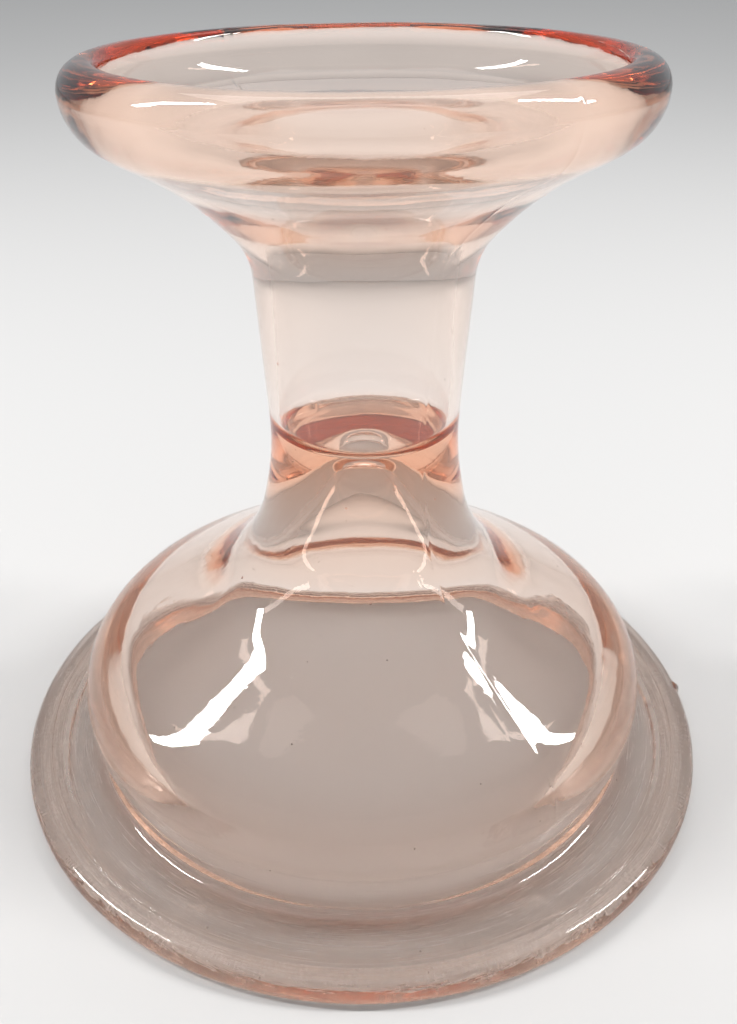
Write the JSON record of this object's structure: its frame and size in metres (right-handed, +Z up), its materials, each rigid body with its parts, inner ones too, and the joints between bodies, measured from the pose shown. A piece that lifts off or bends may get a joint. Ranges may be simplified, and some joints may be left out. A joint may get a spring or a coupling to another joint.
{
  "type": "glass candlestick",
  "caption": "Low pressed-glass candlestick: hollow domed foot on a flat rim, hollow stem that grips a dinner candle, and a flared drip bowl with a rolled lip.",
  "frame": {"origin": "on the table, at the centre of the foot", "axes": "+Z up, along the candlestick's axis of symmetry; X and Y level"},
  "size_m": [0.105, 0.105, 0.1],
  "materials": {
    "pink_glass": "clear fire-polished pressed glass, salmon pink where it is thick"
  },
  "bodies": {
    "root": {"domed_foot": "pink_glass", "candle_stem": "pink_glass", "flared_bowl": "pink_glass"}
  },
  "joints": []
}
